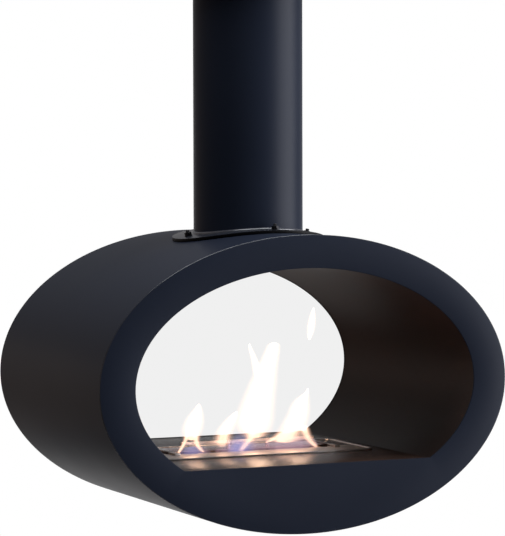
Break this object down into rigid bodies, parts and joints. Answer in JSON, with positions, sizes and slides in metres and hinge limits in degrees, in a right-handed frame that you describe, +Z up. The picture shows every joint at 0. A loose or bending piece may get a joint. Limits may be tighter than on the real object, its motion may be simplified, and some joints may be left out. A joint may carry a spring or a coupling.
{
  "type": "hanging fireplace",
  "caption": "See-through oval steel drum hung from the ceiling on a round pipe, with a lift-out liquid-fuel burner and a sliding lid in its floor.",
  "frame": {"origin": "middle of the ceiling face, on the drop pipe's axis", "axes": "+Z up along the drop pipe, +X to the right along the oval's width, front towards -Y"},
  "size_m": [0.9, 0.6, 1.2],
  "materials": {
    "black_steel": "matt heat-resistant blue-black paint",
    "dark_steel": "black heat-resistant paint",
    "liner_steel": "satin warm black heat-resistant paint",
    "floor_steel": "satin black, reflects the flames",
    "stainless": "polished stainless steel",
    "zinc": "zinc-plated",
    "fibre": "white ceramic fibre",
    "gasket": "black heat-resistant gasket",
    "felt": "black felt"
  },
  "bodies": {
    "drum": {"outer_shell": "black_steel", "front_frame": "black_steel", "back_frame": "black_steel", "inner_liner": "liner_steel", "floor_plate": "floor_steel", "front_rib": "dark_steel", "back_rib": "dark_steel", "front_floor_angle": "dark_steel", "back_floor_angle": "dark_steel", "front_frame_tabs": "zinc", "back_frame_tabs": "zinc", "insulation_blanket": "fibre", "hanger_plate": "dark_steel", "flange_gasket": "gasket", "saddle_flange": "black_steel", "flange_studs": "dark_steel", "flange_washers": "dark_steel", "flange_nuts": "dark_steel", "drop_pipe": "black_steel", "foot_weld": "black_steel", "ceiling_plate": "dark_steel", "pipe_socket": "dark_steel", "pipe_screws": "zinc", "burner_tray": "stainless"},
    "burner": {"burner_box": "stainless", "burner_top": "stainless", "ceramic_wool": "fibre", "wool_grid": "stainless", "lid_guides": "stainless"},
    "lid": {"damper_lid": "stainless", "handle_posts": "stainless", "handle_bar": "stainless", "handle_screws": "zinc"},
    "rosette": {"ceiling_rosette": "black_steel", "rosette_grip_ring": "felt"}
  },
  "joints": [
    {"name": "burner_lift", "type": "slide", "parent": "drum", "child": "burner", "axis": [0, 0, 1], "range_m": [0, 0.1]},
    {"name": "damper_slide", "type": "slide", "parent": "burner", "child": "lid", "axis": [0, -1, 0], "range_m": [0, 0.045]},
    {"name": "rosette_slide", "type": "slide", "parent": "drum", "child": "rosette", "axis": [0, 0, -1], "range_m": [0, 0.15]}
  ]
}
